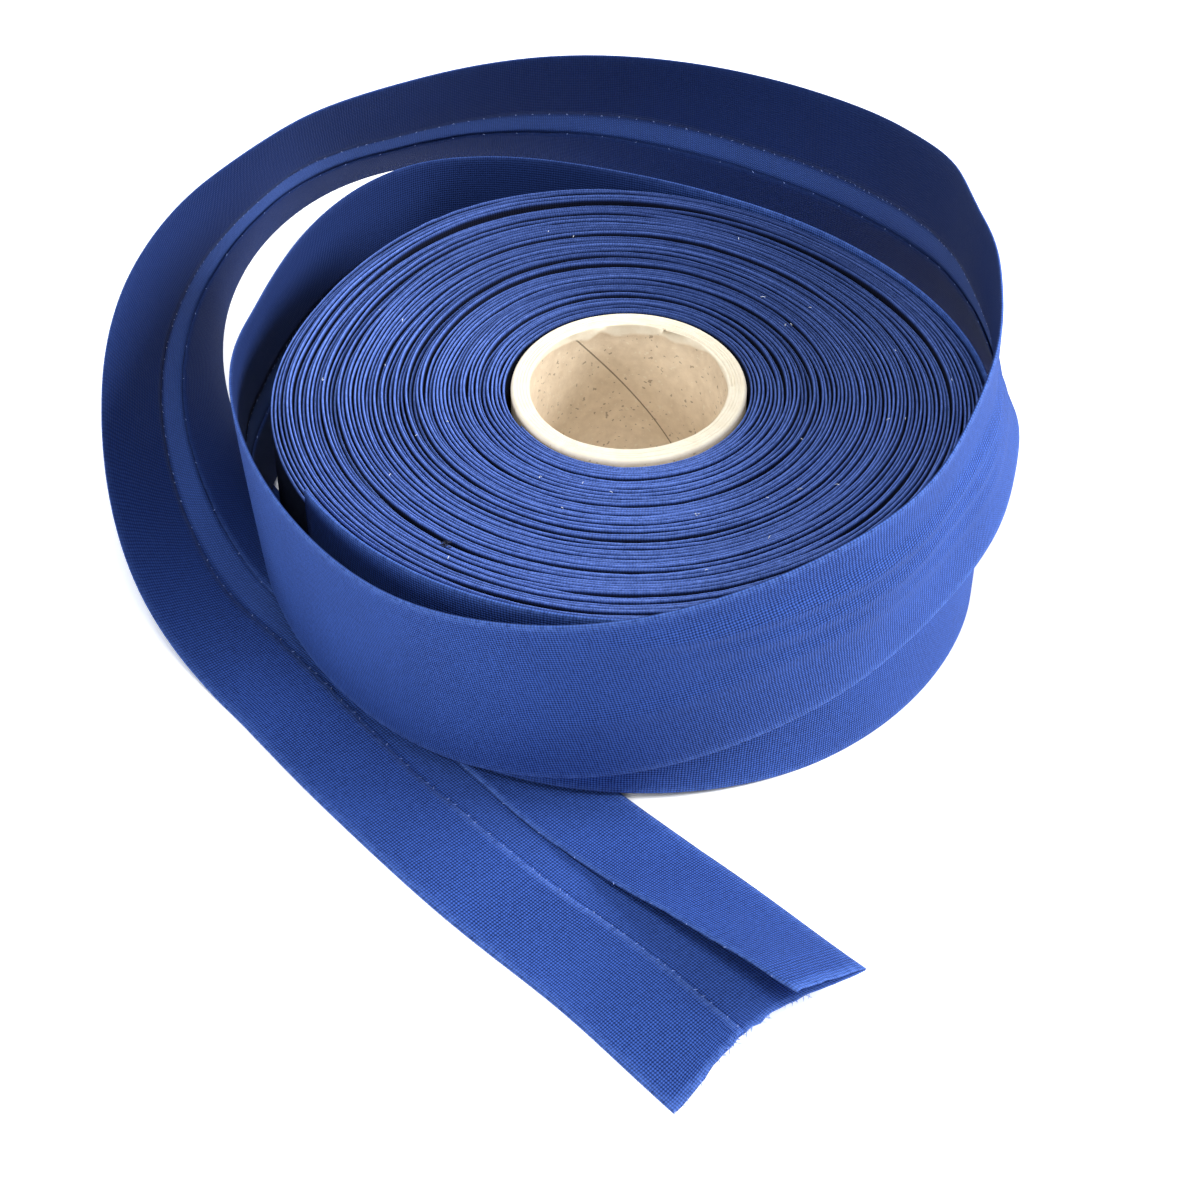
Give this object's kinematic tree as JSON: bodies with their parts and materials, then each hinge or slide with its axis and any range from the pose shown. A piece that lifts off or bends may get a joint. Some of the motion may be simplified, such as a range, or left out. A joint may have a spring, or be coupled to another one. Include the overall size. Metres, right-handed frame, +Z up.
{
  "type": "roll of bias binding",
  "caption": "Roll of folded bias binding wound on a cardboard core, its last turns loose and its hemmed end lying flat beside it.",
  "frame": {"origin": "on the surface that the roll lies on, below the middle of the whole's box", "axes": "+Z up along the roll's axis; the cut end lies towards -Y, at the front"},
  "size_m": [0.1712, 0.2523, 0.0695],
  "materials": {
    "kraft_board": "matt unbleached cardboard",
    "wound_cotton": "matt plain-weave cotton, folded edges",
    "tape_cotton": "matt plain-weave cotton cut on the bias"
  },
  "bodies": {
    "root": {"core": "kraft_board", "wound_roll": "wound_cotton", "loose_end": "tape_cotton"}
  },
  "joints": []
}
